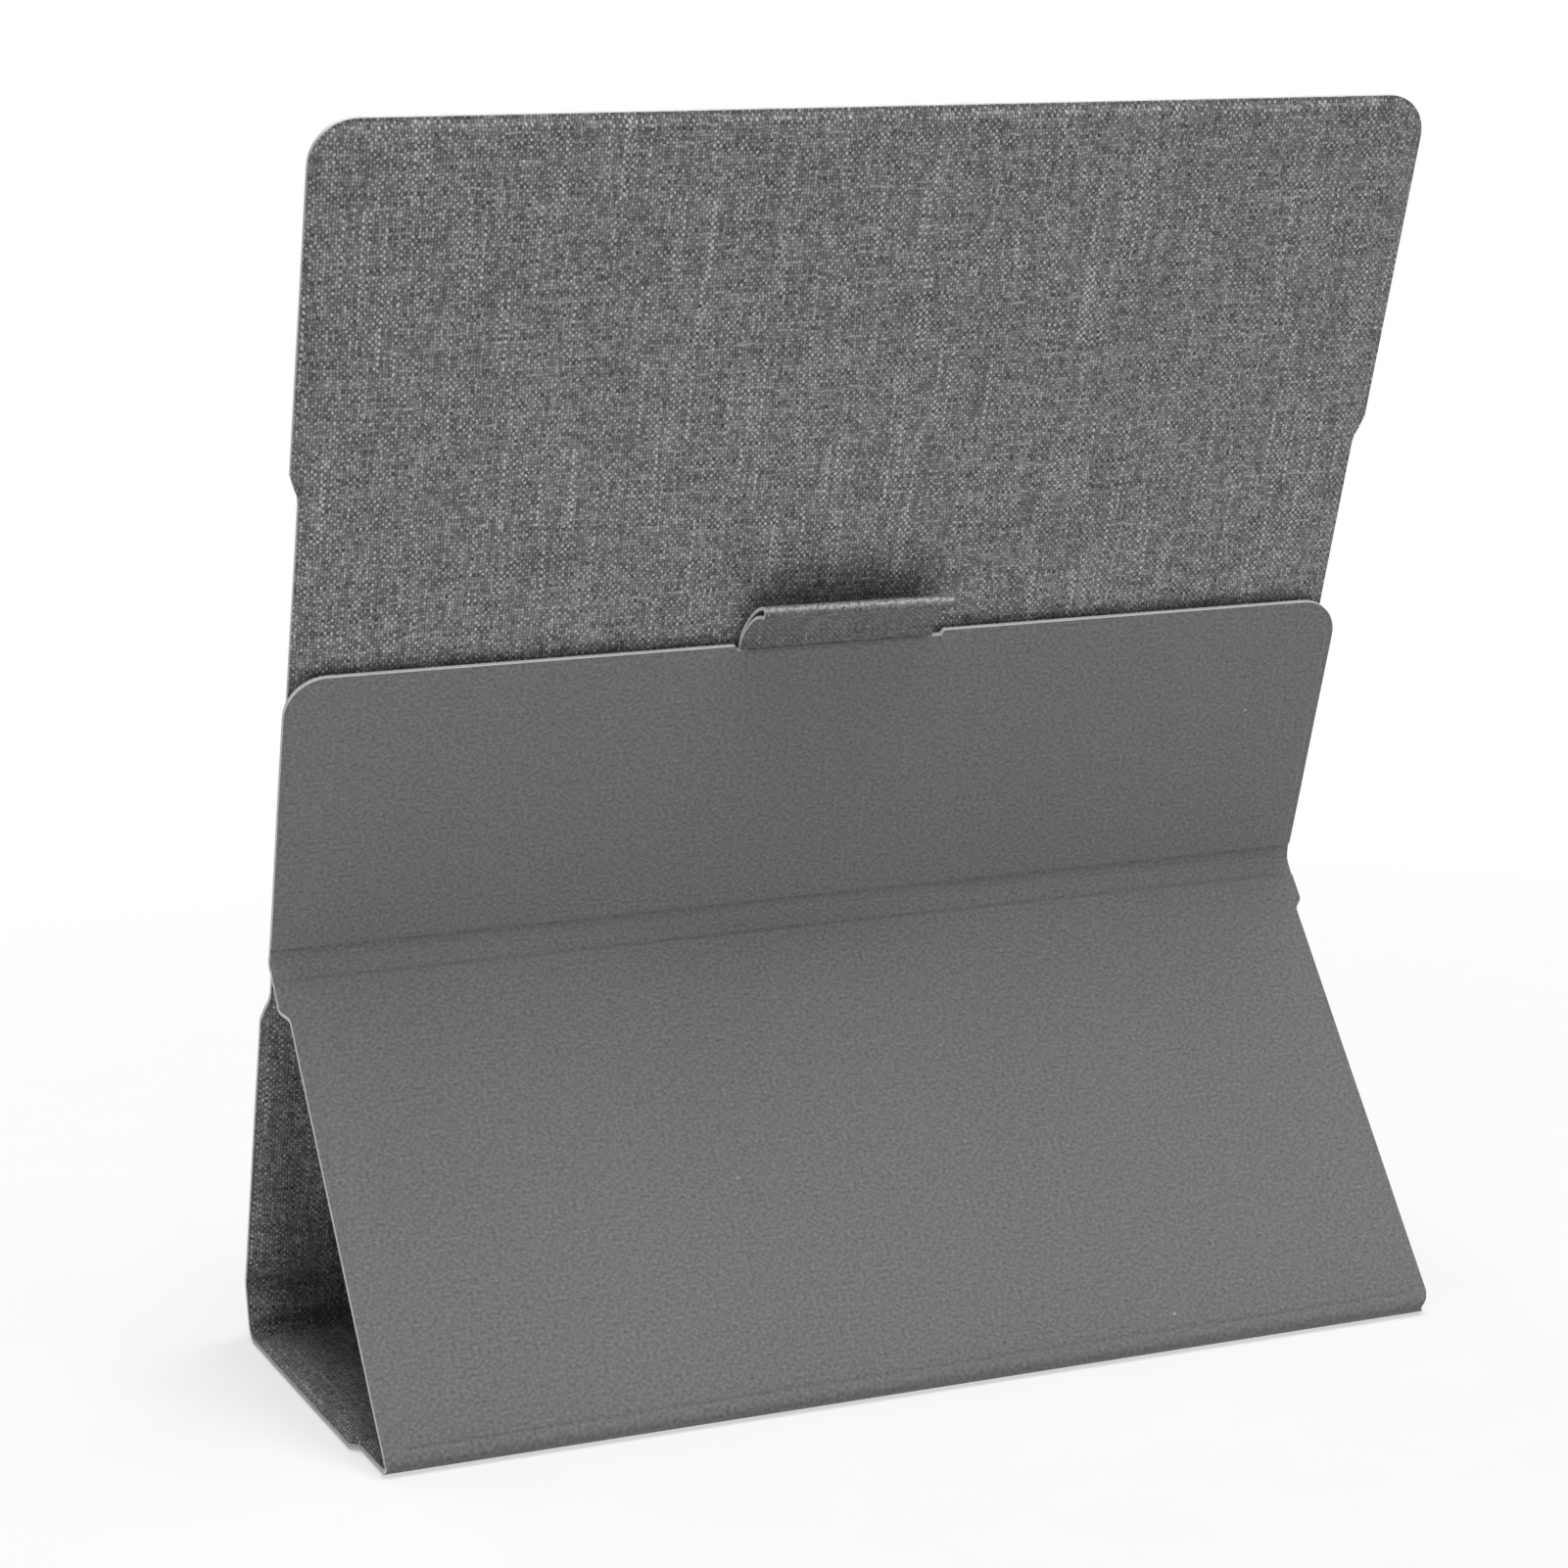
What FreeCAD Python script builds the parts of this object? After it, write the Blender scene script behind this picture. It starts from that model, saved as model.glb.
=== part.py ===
import FreeCAD
import Part
import math
import os

import Sketcher

# Folding stand case for a small tablet, drawn in its standing position.
# Frame: X across the case, Y towards the rear, Z up, millimetres.
# The origin is the middle of the face that rests on the table.

SIZES = {
    # cloth, board and rim
    "case_width": 165.0,
    "fabric_thick": 0.45,
    "lining_thick": 0.40,
    "board_thick": 1.00,
    "lining_rim_depth": 0.15,
    "rim_width": 1.20,
    "wrap_allowance": 0.35,
    "board_corner": 2.60,
    "wrap_edge": 0.30,
    # panel lengths between fold corners
    "back_length": 183.6,
    "spine_length": 8.25,
    "base_length": 68.1,
    "prop_length": 76.8,
    "flap_length": 45.9,
    # standing angles
    "back_lean": 20.85,
    "spine_lean": 8.7,
    # bend radii at the middle of the cloth
    "back_bend": 3.00,
    "spine_bend": 2.60,
    "stand_bend": 1.20,
    "flap_bend": 1.60,
    "fold_gap": 0.30,
    # boards stop short of the folds
    "fold_margin": 1.20,
    "spine_margin": 0.55,
    "spine_corner": 0.80,
    "prop_crease_margin": 2.40,
    "flap_crease_margin": 1.95,
    # clear gaps between the flap's face and the back panel's face
    "apex_gap": 0.35,
    "flap_gap": 0.45,
    # outline
    "back_corner": 6.40,
    "flap_corner": 6.00,
    "relief_depth": 1.30,
    "relief_ramp": 4.00,
    "back_relief_start": 50.1,
    "back_relief_end": 136.5,
    "base_relief_run": 15.0,
    "prop_relief_end": 5.4,
    # tab at the middle of the flap
    "tab_width": 29.2,
    "tab_notch_side": 1.60,
    "tab_cloth": 0.50,
    "tab_height": 7.50,
    "tab_reach": 5.05,
    "tab_head": 1.90,
    "tab_gap": 0.60,
    "tab_anchor_length": 9.0,
    # hidden metal
    "magnet_fit": 0.05,
    "tablet_magnet_long": 18.0,
    "tablet_magnet_wide": 6.0,
    "tablet_magnet_inset": 12.0,
    "flap_magnet_long": 16.0,
    "flap_magnet_wide": 5.0,
    "keeper_clearance": 5.0,
    "flap_magnet_drop": 12.0,
    "tab_magnet_long": 20.0,
    "tab_magnet_wide": 1.6,
    "tab_magnet_thick": 0.50,
    "tab_magnet_inset": 0.50,
}

doc = FreeCAD.newDocument("FoldingStandCase")
sheet = doc.addObject("Spreadsheet::Sheet", "Sizes")
for row, (alias, number) in enumerate(SIZES.items(), start=1):
    sheet.set("A%d" % row, alias)
    sheet.set("B%d" % row, str(number))
    sheet.setAlias("B%d" % row, alias)
doc.recompute()

nodes = []


class Dim:
    """A length that knows its number and its spreadsheet formula."""

    def __init__(self, number, text):
        self.number = float(number)
        self.text = text

    def _join(self, other, sign, number):
        return Dim(number, "(%s %s %s)" % (self.text, sign, other.text))

    def __add__(self, other):
        other = as_dim(other)
        return self._join(other, "+", self.number + other.number)

    def __sub__(self, other):
        other = as_dim(other)
        return self._join(other, "-", self.number - other.number)

    def __mul__(self, other):
        other = as_dim(other)
        return self._join(other, "*", self.number * other.number)

    def __truediv__(self, other):
        other = as_dim(other)
        return self._join(other, "/", self.number / other.number)

    def __neg__(self):
        return Dim(-self.number, "(0 - %s)" % self.text)


def as_dim(item):
    if isinstance(item, Dim):
        return item
    return Dim(item, repr(float(item)))


def size(alias):
    return Dim(sheet.get(alias), "Sizes." + alias)


def value(alias):
    return float(sheet.get(alias))


ZERO = as_dim(0.0)
HALF_WIDTH = size("case_width") / 2
FABRIC = size("fabric_thick")
LINING = size("lining_thick")
BOARD = size("board_thick")
STEP = size("lining_rim_depth")
RIM = size("rim_width")
WRAP = size("wrap_allowance")
RELIEF = size("relief_depth")
RAMP = size("relief_ramp")
FOLD_MARGIN = size("fold_margin")

# Heights through a panel, from the lining's face to the fabric's face.
SEAM = STEP + LINING
RIM_TOP = SEAM + FABRIC
BOARD_LOW = LINING
BOARD_TOP = LINING + BOARD
FACE_TOP = BOARD_TOP + FABRIC
CLOTH_MIDDLE = (value("lining_thick") + value("fabric_thick")) / 2 + value("lining_rim_depth")


def direction(angle):
    """Unit (y, z) along the strip at an angle in degrees from +Y."""
    return (math.cos(math.radians(angle)), math.sin(math.radians(angle)))


def normal(angle):
    """Unit (y, z) towards the fabric side."""
    along = direction(angle)
    return (-along[1], along[0])


def move(point, vector, distance):
    return (point[0] + vector[0] * distance, point[1] + vector[1] * distance)


def tangent_length(radius, turn):
    return radius * math.tan(math.radians(abs(turn)) / 2)


class Profile:
    """Side view of the cloth's middle: corners, angles and bends."""

    def __init__(self):
        self.back_angle = -90.0 - value("back_lean")
        self.spine_angle = -90.0 + value("spine_lean")
        self.corner_front = (-value("base_length") / 2, CLOTH_MIDDLE)
        self.corner_rear = (value("base_length") / 2, CLOTH_MIDDLE)
        self.corner_back = move(self.corner_front, direction(self.spine_angle), -value("spine_length"))
        self.top = move(self.corner_back, direction(self.back_angle), -value("back_length"))
        self.face_pair = 2 * (FACE_TOP.number - CLOTH_MIDDLE)
        self._lean_prop_on_back()
        self._stand_flap_off_back()
        self.turn_back = self.spine_angle - self.back_angle
        self.turn_spine = -self.spine_angle
        self.turn_stand = self.prop_angle
        self.turn_flap = self.flap_angle - self.prop_angle

    def _lean_prop_on_back(self):
        """The prop's top stops where the flap's face clears the back panel."""
        up = direction(self.back_angle + 180.0)
        rear = normal(self.back_angle)
        start = move(self.corner_back, rear, self.face_pair + value("apex_gap"))
        to_rear = (self.corner_rear[0] - start[0], self.corner_rear[1] - start[1])
        along = to_rear[0] * up[0] + to_rear[1] * up[1]
        off = to_rear[0] * rear[0] + to_rear[1] * rear[1]
        climb = math.sqrt(value("prop_length") ** 2 - off ** 2)
        self.apex = move(start, up, along + climb)
        rise = (self.apex[0] - self.corner_rear[0], self.apex[1] - self.corner_rear[1])
        self.prop_angle = math.degrees(math.atan2(rise[1], rise[0]))

    def _stand_flap_off_back(self):
        """The two fabric faces end one flap gap apart at the flap's top."""
        widening = value("flap_gap") - value("apex_gap")
        spread = math.degrees(math.asin(widening / value("flap_length")))
        self.flap_angle = 90.0 - value("back_lean") - spread
        self.flap_top = move(self.apex, direction(self.flap_angle), value("flap_length"))


PROFILE = Profile()


def panel_placement(corner, angle, setback):
    """Local x across, y along the strip, z from the lining to the fabric."""
    start = move(corner, direction(angle), setback)
    low = move(start, normal(angle), -CLOTH_MIDDLE)
    spin = FreeCAD.Rotation(FreeCAD.Vector(1, 0, 0), angle)
    return FreeCAD.Placement(FreeCAD.Vector(0, low[0], low[1]), spin)


def new_body(label, placement):
    body = doc.addObject("PartDesign::Body", label)
    body.Label = label
    body.Placement = placement
    nodes.append(body)
    return body


def origin_plane(body, role):
    for feature in body.Origin.OriginFeatures:
        if feature.Role == role:
            return feature
    raise RuntimeError("no origin plane " + role)


def sign(number):
    if abs(number) < 1e-9:
        return 0.0
    return math.copysign(1.0, number)


def expand_corners(points):
    """Swap each rounded corner for its two tangent points."""
    corners = []
    count = len(points)
    for index, (x, y, radius) in enumerate(points):
        if radius is None:
            corners.append((x, y, None))
            continue
        before = points[index - 1]
        after = points[(index + 1) % count]
        into = (sign(x.number - before[0].number), sign(y.number - before[1].number))
        away = (sign(after[0].number - x.number), sign(after[1].number - y.number))
        corners.append((x - radius * into[0], y - radius * into[1], radius))
        corners.append((x + radius * away[0], y + radius * away[1], None))
    return corners


def corner_arc(start, end, radius):
    """A quarter turn, anticlockwise, between two tangent points."""
    a = FreeCAD.Vector(start[0].number, start[1].number, 0)
    b = FreeCAD.Vector(end[0].number, end[1].number, 0)
    chord = b - a
    bulge = FreeCAD.Vector(chord.y, -chord.x, 0).normalize()
    middle = (a + b) * 0.5 + bulge * (radius.number * (1.0 - math.sqrt(0.5)))
    return Part.Arc(a, middle, b)


def tie(sketch, rule, dim):
    number = sketch.addConstraint(rule)
    sketch.setExpression("Constraints[%d]" % number, dim.text)


def add_loop(sketch, outline):
    """A closed outline; every corner is tied to the spreadsheet."""
    points = expand_corners(outline)
    first = sketch.GeometryCount
    count = len(points)
    for index, start in enumerate(points):
        end = points[(index + 1) % count]
        if start[2] is not None:
            sketch.addGeometry(corner_arc(start, end, start[2]), False)
            continue
        a = FreeCAD.Vector(start[0].number, start[1].number, 0)
        b = FreeCAD.Vector(end[0].number, end[1].number, 0)
        sketch.addGeometry(Part.LineSegment(a, b), False)
    for index in range(count):
        following = first + (index + 1) % count
        sketch.addConstraint(Sketcher.Constraint("Coincident", first + index, 2, following, 1))
    for index, (x, y, radius) in enumerate(points):
        place = first + index
        tie(sketch, Sketcher.Constraint("DistanceX", -1, 1, place, 1, x.number), x)
        tie(sketch, Sketcher.Constraint("DistanceY", -1, 1, place, 1, y.number), y)
        if radius is not None:
            tie(sketch, Sketcher.Constraint("Radius", place, radius.number), radius)


def new_sketch(body, name, loops, height, role="XY_Plane"):
    sketch = body.newObject("Sketcher::SketchObject", name)
    sketch.AttachmentSupport = [(origin_plane(body, role), "")]
    sketch.MapMode = "FlatFace"
    sketch.AttachmentOffset = FreeCAD.Placement(FreeCAD.Vector(0, 0, height.number), FreeCAD.Rotation())
    sketch.setExpression("AttachmentOffset.Base.z", height.text)
    for loop in loops:
        add_loop(sketch, loop)
    return sketch


def pad(body, name, loops, low, high):
    sketch = new_sketch(body, name + "_outline", loops, low)
    feature = body.newObject("PartDesign::Pad", name)
    feature.Profile = sketch
    feature.Length = (high - low).number
    feature.setExpression("Length", (high - low).text)
    doc.recompute()
    return feature


def pocket(body, name, loops, low, high):
    before = body.Shape.Volume
    sketch = new_sketch(body, name + "_outline", loops, high)
    feature = body.newObject("PartDesign::Pocket", name)
    feature.Profile = sketch
    feature.Length = (high - low).number
    feature.setExpression("Length", (high - low).text)
    doc.recompute()
    if body.Shape.Volume >= before:
        raise RuntimeError(name + " cuts nothing in " + body.Label)
    return feature


def round_top(body, name, base, height, radius):
    """Ease the upper edge of the raised face."""
    names = []
    for index, edge in enumerate(base.Shape.Edges, start=1):
        if all(abs(vertex.Point.z - height.number) < 1e-5 for vertex in edge.Vertexes):
            names.append("Edge%d" % index)
    feature = body.newObject("PartDesign::Fillet", name)
    feature.Base = (base, names)
    feature.Radius = radius.number
    feature.setExpression("Radius", radius.text)
    doc.recompute()
    return feature


class Panel:
    """One stiff panel in its own local plane: a board between two cloths."""

    def __init__(self, name, placement, length, steps, margins):
        self.name = name
        self.placement = placement
        self.length = length
        self.steps = steps
        self.start_margin, self.end_margin = margins
        self.rim_radii = (None, None)
        self.board_radii = (size("board_corner"), size("board_corner"))
        self.notch = None
        self.slit = None

    def half_outline(self, inset, start, end, radii):
        """Right-hand corners from the strip's start to its end."""
        wide = HALF_WIDTH - inset
        narrow = wide - RELIEF
        is_wide = self.steps[0]
        points = [(wide if is_wide else narrow, start, radii[0])]
        for place in self.steps[1:]:
            points.append((wide if is_wide else narrow, place, None))
            is_wide = not is_wide
            points.append((wide if is_wide else narrow, place + RAMP, None))
        points.append((wide if is_wide else narrow, end, radii[1]))
        return points

    def loop(self, inset, start, end, radii, notch=None):
        """The whole outline; a notch goes in from the strip's end."""
        right = self.half_outline(inset, start, end, radii)
        left = [(-x, y, radius) for x, y, radius in reversed(right)]
        if notch is None:
            return right + left
        half, depth = notch
        cut = [(half, end), (half, end - depth), (-half, end - depth), (-half, end)]
        return right + [(x, y, None) for x, y in cut] + left

    def rim_loop(self):
        return self.loop(ZERO, ZERO, self.length, self.rim_radii, self.notch)

    def board_loop(self, extra=ZERO, slit=None):
        """The board's outline, grown by the wrap allowance where asked."""
        radii = [radius + extra for radius in self.board_radii]
        start = self.start_margin - extra
        end = self.length - self.end_margin + extra
        return self.loop(RIM - extra, start, end, radii, slit)

    def cloth(self, label, rim, raised, seat, eased):
        """A rim, a raised face over the board and the board's seat."""
        body = new_body(label, self.placement)
        pad(body, label + "_rim", [self.rim_loop()], *rim)
        face = pad(body, label + "_raised", [self.board_loop(WRAP)], *raised)
        if eased:
            round_top(body, label + "_ease", face, raised[1], size("wrap_edge"))
        pocket(body, label + "_seat", [self.board_loop(ZERO, self.slit)], *seat)
        return body

    def fabric(self):
        return self.cloth(self.name + "_fabric", (SEAM, RIM_TOP), (SEAM, FACE_TOP), (SEAM, BOARD_TOP), True)

    def lining(self):
        return self.cloth(self.name + "_lining", (STEP, SEAM), (ZERO, SEAM), (BOARD_LOW, SEAM), False)

    def board(self, cutouts=()):
        label = self.name + "_board"
        body = new_body(label, self.placement)
        pad(body, label + "_sheet", [self.board_loop()], BOARD_LOW, BOARD_TOP)
        if cutouts:
            pocket(body, label + "_seats", list(cutouts), BOARD_LOW, BOARD_TOP)
        return body


def rectangle(x, y, half_x, half_y, fit=ZERO):
    """A rectangle about a middle, grown all round by a fit."""
    wide = half_x + fit
    long = half_y + fit
    corners = [(x - wide, y - long), (x + wide, y - long), (x + wide, y + long), (x - wide, y + long)]
    return [(a, b, None) for a, b in corners]


def plates(label, placement, loops, low, high):
    """Several loose plates that share one node."""
    pieces = []
    for index, (x, y, half_x, half_y) in enumerate(loops):
        box = doc.addObject("Part::Box", "%s_%d" % (label, index + 1))
        for name, item in (("Length", half_x * 2), ("Width", half_y * 2), ("Height", high - low)):
            setattr(box, name, item.number)
            box.setExpression(name, item.text)
        for axis, item in (("x", x - half_x), ("y", y - half_y), ("z", low)):
            box.setExpression("Placement.Base." + axis, item.text)
        pieces.append(box)
    group = doc.addObject("Part::Compound", label)
    group.Label = label
    group.Links = pieces
    group.Placement = placement
    nodes.append(group)
    return group


def fold_strip(label, center, start_angle, sweep, inner, outer, half_width):
    """A bent strip of cloth: a rectangle turned about the fold's middle."""
    spin = FreeCAD.Rotation(FreeCAD.Vector(1, 0, 0), start_angle)
    body = new_body(label, FreeCAD.Placement(FreeCAD.Vector(0, center[0], center[1]), spin))
    corners = [(-half_width, inner), (half_width, inner), (half_width, outer), (-half_width, outer)]
    loop = [(x, y, None) for x, y in corners]
    sketch = new_sketch(body, label + "_section", [loop], ZERO)
    turn = body.newObject("PartDesign::Revolution", label + "_turn")
    turn.Profile = sketch
    turn.ReferenceAxis = (origin_plane(body, "X_Axis"), [""])
    turn.Angle = sweep
    doc.recompute()
    return body


def fold_layers(radius, fabric_inside):
    """Radii of the fabric and of the lining in a bend."""
    half = (LINING + FABRIC) / 2
    low = radius - half
    high = radius + half
    if fabric_inside:
        return (low, low + FABRIC), (high - LINING, high)
    return (high - FABRIC, high), (low, low + LINING)


def make_fold(name, corner, angle_in, turn, alias, half_width, gap_at_start):
    """Both cloth layers of one fold, held off the moving panel by the gap."""
    radius = value(alias)
    towards_fabric = turn > 0
    side = 1.0 if towards_fabric else -1.0
    tangent = move(corner, direction(angle_in), -tangent_length(radius, turn))
    center = move(tangent, normal(angle_in), side * radius)
    trim = math.degrees(value("fold_gap") / radius)
    first = angle_in - 90.0 if towards_fabric else angle_in + turn + 90.0
    if gap_at_start == towards_fabric:
        first += trim
    sweep = abs(turn) - trim
    layers = fold_layers(size(alias), towards_fabric)
    for cloth, (inner, outer) in zip(("fabric", "lining"), layers):
        fold_strip(name + "_" + cloth, center, first, sweep, inner, outer, half_width)


def setback(alias, turn):
    return tangent_length(value(alias), turn)


def straight(alias, first, last):
    """A panel's straight length, between the bends at its two ends."""
    return size(alias) - as_dim(first) - as_dim(last)


def magnet_side():
    """How far out the magnets along the tablet's long sides sit."""
    return HALF_WIDTH - RELIEF - RIM - size("tablet_magnet_inset")


def flap_magnet_across():
    """The flap's magnets and their keepers stay inside those side magnets."""
    taken = size("tablet_magnet_wide") / 2 + size("keeper_clearance")
    return magnet_side() - taken - size("flap_magnet_long") / 2


def tablet_magnet_places(length):
    """A magnet at each corner of the tablet and one at each side's middle."""
    side = magnet_side()
    near = size("tablet_magnet_inset") + FOLD_MARGIN
    far = length - near
    half_long = size("tablet_magnet_long") / 2
    half_wide = size("tablet_magnet_wide") / 2
    across = side - half_long
    return [
        (across, near, half_long, half_wide),
        (-across, near, half_long, half_wide),
        (across, far, half_long, half_wide),
        (-across, far, half_long, half_wide),
        (side, length / 2, half_wide, half_long),
        (-side, length / 2, half_wide, half_long),
    ]


def build_back():
    bend = setback("back_bend", PROFILE.turn_back)
    length = straight("back_length", 0.0, bend)
    placement = panel_placement(PROFILE.top, PROFILE.back_angle, 0.0)
    steps = [True, size("back_relief_start"), size("back_relief_end") - RAMP]
    panel = Panel("back", placement, length, steps, (RIM, FOLD_MARGIN))
    panel.rim_radii = (size("back_corner"), None)
    panel.board_radii = (size("back_corner") - RIM, size("board_corner"))
    magnets = tablet_magnet_places(length)
    reach = PROFILE.flap_top
    top = PROFILE.top
    down = direction(PROFILE.back_angle)
    flap_end = (reach[0] - top[0]) * down[0] + (reach[1] - top[1]) * down[1]
    keeper_place = as_dim(flap_end) + size("flap_magnet_drop")
    half_long = size("flap_magnet_long") / 2
    half_wide = size("flap_magnet_wide") / 2
    offset = flap_magnet_across()
    keepers = [(offset, keeper_place, half_long, half_wide), (-offset, keeper_place, half_long, half_wide)]
    fit = size("magnet_fit")
    panel.fabric()
    panel.board([rectangle(*place, fit=fit) for place in magnets + keepers])
    panel.lining()
    plates("back_tablet_magnets", placement, magnets, BOARD_LOW, BOARD_TOP)
    plates("back_keeper_plates", placement, keepers, BOARD_LOW, BOARD_TOP)


def build_spine():
    first = setback("back_bend", PROFILE.turn_back)
    last = setback("spine_bend", PROFILE.turn_spine)
    length = straight("spine_length", first, last)
    placement = panel_placement(PROFILE.corner_back, PROFILE.spine_angle, first)
    margin = size("spine_margin")
    panel = Panel("spine", placement, length, [True], (margin, margin))
    panel.board_radii = (size("spine_corner"), size("spine_corner"))
    panel.fabric()
    panel.board()
    panel.lining()


def build_base():
    first = setback("spine_bend", PROFILE.turn_spine)
    last = setback("stand_bend", PROFILE.turn_stand)
    length = straight("base_length", first, last)
    placement = panel_placement(PROFILE.corner_front, 0.0, first)
    steps = [True, length - size("base_relief_run")]
    panel = Panel("base", placement, length, steps, (FOLD_MARGIN, FOLD_MARGIN))
    panel.fabric()
    panel.board()
    panel.lining()


def build_prop():
    first = setback("stand_bend", PROFILE.turn_stand)
    last = setback("flap_bend", PROFILE.turn_flap)
    length = straight("prop_length", first, last)
    placement = panel_placement(PROFILE.corner_rear, PROFILE.prop_angle, first)
    widen = length - size("prop_relief_end") - RAMP
    margins = (FOLD_MARGIN, size("prop_crease_margin"))
    panel = Panel("prop", placement, length, [False, widen], margins)
    panel.fabric()
    panel.board()
    panel.lining()


def build_flap():
    first = setback("flap_bend", PROFILE.turn_flap)
    length = straight("flap_length", first, 0.0)
    placement = panel_placement(PROFILE.apex, PROFILE.flap_angle, first)
    panel = Panel("flap", placement, length, [True], (size("flap_crease_margin"), RIM))
    panel.rim_radii = (None, size("flap_corner"))
    panel.board_radii = (size("board_corner"), size("flap_corner") - RIM)
    fit = size("magnet_fit")
    half_tab = size("tab_width") / 2
    panel.notch = (half_tab + size("tab_notch_side"), RIM - WRAP)
    panel.slit = (half_tab + fit, -RIM)
    half_long = size("flap_magnet_long") / 2
    half_wide = size("flap_magnet_wide") / 2
    across = flap_magnet_across()
    place = length - size("flap_magnet_drop")
    magnets = [(across, place, half_long, half_wide), (-across, place, half_long, half_wide)]
    anchor_half = size("tab_anchor_length") / 2
    anchor_end = length - RIM + WRAP
    anchor = (ZERO, anchor_end - anchor_half, half_tab, anchor_half)
    slot = rectangle(ZERO, anchor_end - anchor_half, half_tab, anchor_half, fit)
    panel.fabric()
    panel.board([rectangle(*item, fit=fit) for item in magnets] + [slot])
    panel.lining()
    plates("flap_magnets", placement, magnets, BOARD_LOW, BOARD_TOP)
    plates("tab_anchor", placement, [anchor], BOARD_LOW, BOARD_TOP)
    return placement, length


# steps along the tab's curve, and the step where its hollow begins
TAB_STEPS = 14
HOLLOW_STEP = 8


def arc_points(height, reach, count):
    """Points on the arc that leaves the flap upwards and curls to the rear."""
    radius = (height ** 2 + reach ** 2) / (2 * reach)
    turn = 2 * math.atan2(reach, height)
    points = []
    for index in range(count):
        angle = turn * index / (count - 1)
        points.append((radius * math.sin(angle), radius * (1 - math.cos(angle)), angle))
    return points


def tab_sides(cloth, head):
    """The loop's outer and inner edges, from the root to the head."""
    front = []
    rear = []
    arc = arc_points(value("tab_height"), value("tab_reach"), TAB_STEPS + 1)
    for index, (along, out, angle) in enumerate(arc):
        share = index / TAB_STEPS
        swell = cloth + (head / 2 - cloth) * share ** 2
        across = (math.sin(angle), -math.cos(angle))
        front.append((along + across[0] * swell, out + across[1] * swell))
        rear.append((along - across[0] * swell, out - across[1] * swell))
    return front, rear


def tab_end(point):
    """A point of the tab's section, on its left end face."""
    return FreeCAD.Vector(-value("tab_width") / 2, point[0], -point[1])


def smooth_edge(points):
    curve = Part.BSplineCurve()
    curve.interpolate([tab_end(point) for point in points])
    return curve.toShape()


def closed_section(front, rear, tip):
    """A face bounded by two long edges, a round head and a straight root."""
    head = Part.Arc(tab_end(front[-1]), tab_end(tip), tab_end(rear[-1])).toShape()
    root = Part.LineSegment(tab_end(rear[0]), tab_end(front[0])).toShape()
    edges = [smooth_edge(front), head, smooth_edge(rear), root]
    return Part.Face(Part.Wire(Part.__sortEdges__(edges)))


def head_point(radius):
    along, out, angle = arc_points(value("tab_height"), value("tab_reach"), 2)[-1]
    return (along + math.cos(angle) * radius, out + math.sin(angle) * radius)


def loose_solid(label, shape, placement):
    feature = doc.addObject("Part::Feature", label)
    feature.Label = label
    feature.Shape = shape
    feature.Placement = placement
    nodes.append(feature)
    return feature


def build_tab(flap_placement, flap_length):
    """A strip folded into a flat loop, with a thin magnet inside its head."""
    cloth = value("tab_cloth")
    head = value("tab_head")
    outer_front, outer_rear = tab_sides(cloth, head)
    outer = closed_section(outer_front, outer_rear, head_point(head / 2))
    hollow = head / 2 - cloth
    pairs = list(zip(*tab_sides(cloth, head)))[HOLLOW_STEP:]
    share = [(index + HOLLOW_STEP) / TAB_STEPS for index in range(len(pairs))]
    inner_front = []
    inner_rear = []
    for (front, rear), part in zip(pairs, share):
        swell = cloth + (head / 2 - cloth) * part ** 2
        keep = (swell - cloth) / swell
        middle = ((front[0] + rear[0]) / 2, (front[1] + rear[1]) / 2)
        inner_front.append(tuple(m + (f - m) * keep for f, m in zip(front, middle)))
        inner_rear.append(tuple(m + (r - m) * keep for r, m in zip(rear, middle)))
    inner = closed_section(inner_front, inner_rear, head_point(hollow))
    section = outer.cut(inner).Faces[0]
    height = (BOARD_LOW.number + BOARD_TOP.number) / 2
    root = flap_length.number - value("rim_width") + value("wrap_allowance") + value("tab_gap")
    seat = FreeCAD.Placement(FreeCAD.Vector(0, root, height), FreeCAD.Rotation())
    placement = flap_placement.multiply(seat)
    loose_solid("tab_loop", section.extrude(FreeCAD.Vector(value("tab_width"), 0, 0)), placement)
    build_tab_magnet(placement)


def build_tab_magnet(placement):
    along, out, angle = arc_points(value("tab_height"), value("tab_reach"), 2)[-1]
    inset = value("tab_magnet_inset")
    long = value("tab_magnet_long")
    wide = value("tab_magnet_wide")
    thick = value("tab_magnet_thick")
    block = Part.makeBox(long, wide, thick, FreeCAD.Vector(-long / 2, -wide / 2, -thick / 2))
    middle = FreeCAD.Vector(0, along - math.cos(angle) * inset, -(out - math.sin(angle) * inset))
    turned = FreeCAD.Rotation(FreeCAD.Vector(1, 0, 0), -math.degrees(angle))
    seat = FreeCAD.Placement(middle, turned)
    loose_solid("tab_magnet", block, placement.multiply(seat))


def build_folds():
    wide = HALF_WIDTH
    narrow = HALF_WIDTH - RELIEF
    p = PROFILE
    make_fold("back_fold", p.corner_back, p.back_angle, p.turn_back, "back_bend", wide, True)
    make_fold("spine_fold", p.corner_front, p.spine_angle, p.turn_spine, "spine_bend", wide, True)
    make_fold("stand_fold", p.corner_rear, 0.0, p.turn_stand, "stand_bend", narrow, False)
    make_fold("flap_fold", p.apex, p.prop_angle, p.turn_flap, "flap_bend", wide, False)


def check_document():
    for item in doc.Objects:
        if "Invalid" in item.State or "Error" in item.State:
            raise RuntimeError("%s failed: %s" % (item.Label, item.State))
    for node in nodes:
        if node.Shape.isNull() or not node.Shape.isValid():
            raise RuntimeError("%s has no valid shape" % node.Label)


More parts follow.
